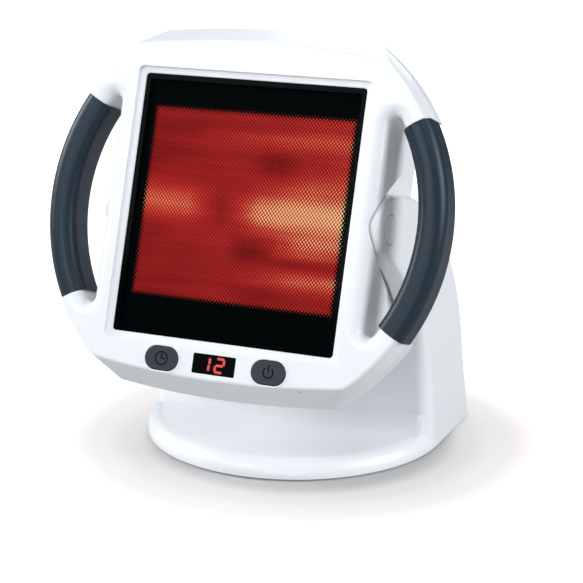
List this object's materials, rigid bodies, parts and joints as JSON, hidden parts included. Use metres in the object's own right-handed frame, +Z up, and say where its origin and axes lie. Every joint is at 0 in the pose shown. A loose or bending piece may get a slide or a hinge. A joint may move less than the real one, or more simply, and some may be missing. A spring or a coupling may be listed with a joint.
{
  "type": "infrared heat lamp",
  "caption": "Table-top infrared heat lamp: a round framed glass panel with side grips, display and buttons, tilting between the two arms of a weighted stand.",
  "frame": {"origin": "on the table under the middle of the overall bounding box, with the head at its usual tilt", "axes": "+Z up, -Y the side that the lamp shines to, X across the lamp along the tilting axis"},
  "size_m": [0.286, 0.2127, 0.2966],
  "materials": {
    "white_shell": "satin white moulding",
    "dark_base": "matt dark grey",
    "zinc_screw": "zinc plated",
    "rubber_pad": "matt",
    "iron_ballast": "raw cast",
    "inlet_rubber": "matt",
    "bush_brass": "turned",
    "spring_steel": "bright",
    "grip_plastic": "soft matt anthracite",
    "ceramic_glass": "red translucent with a printed dot screen and black edge",
    "seal_rubber": "silicone",
    "steel_sheet": "zinc plated sheet",
    "reflector_aluminium": "polished",
    "quartz": "clear tube",
    "coil_wire": "wound wire",
    "ceramic_body": "unglazed",
    "shield_aluminium": "mill finish",
    "cutout_plastic": "moulded phenolic",
    "terminal_plastic": "moulded",
    "board": "solder resist",
    "black_plastic": "matt black",
    "display_black": "gloss black",
    "button_grey": "slate grey",
    "housing_grey": "light grey",
    "bolt_steel": "zinc plated"
  },
  "bodies": {
    "stand": {"stand_shell": "white_shell", "base_plate": "dark_base", "base_screws": "zinc_screw", "rubber_feet": "rubber_pad", "ballast_weight": "iron_ballast", "mains_inlet": "inlet_rubber", "pivot_bushes": "bush_brass", "pivot_washers": "spring_steel", "pivot_caps": "white_shell"},
    "head": {"front_frame": "white_shell", "grip_right": "grip_plastic", "grip_left": "grip_plastic", "ceramic_glass": "ceramic_glass", "glass_seal": "seal_rubber", "glass_retainer": "steel_sheet", "retainer_screws": "zinc_screw", "reflector": "reflector_aluminium", "heater_tubes": "quartz", "heater_coils": "coil_wire", "coil_sleeves": "ceramic_body", "tube_holders": "ceramic_body", "heat_shield": "shield_aluminium", "thermal_cutout": "cutout_plastic", "terminal_block": "terminal_plastic", "control_board": "board", "tact_switches": "black_plastic", "display_window": "display_black", "display_module": "black_plastic", "rear_housing": "housing_grey", "housing_screws": "zinc_screw", "fan_frame": "black_plastic", "pivot_brackets": "steel_sheet", "pivot_bolts": "bolt_steel", "pivot_nuts": "bolt_steel"},
    "timer_button": {"timer_button": "button_grey"},
    "power_button": {"power_button": "button_grey"},
    "fan_rotor": {"fan_rotor": "black_plastic"}
  },
  "joints": [
    {"name": "head_tilt", "type": "hinge", "parent": "stand", "child": "head", "pos_m": [0, -0.04435, 0.1767], "axis": [1, 0, 0], "range_deg": [-20.6, 19.4]},
    {"name": "timer_button_press", "type": "slide", "parent": "head", "child": "timer_button", "axis": [0, 0.9432, -0.3322], "range_m": [0, 0.001], "stiffness_N_per_m": 800, "springref_m": -0.001},
    {"name": "power_button_press", "type": "slide", "parent": "head", "child": "power_button", "axis": [0, 0.9432, -0.3322], "range_m": [0, 0.001], "stiffness_N_per_m": 800, "springref_m": -0.001},
    {"name": "fan_spin", "type": "hinge", "parent": "head", "child": "fan_rotor", "pos_m": [0, 0.01889, 0.15761], "axis": [0, -0.9432, 0.3322], "continuous": true}
  ]
}
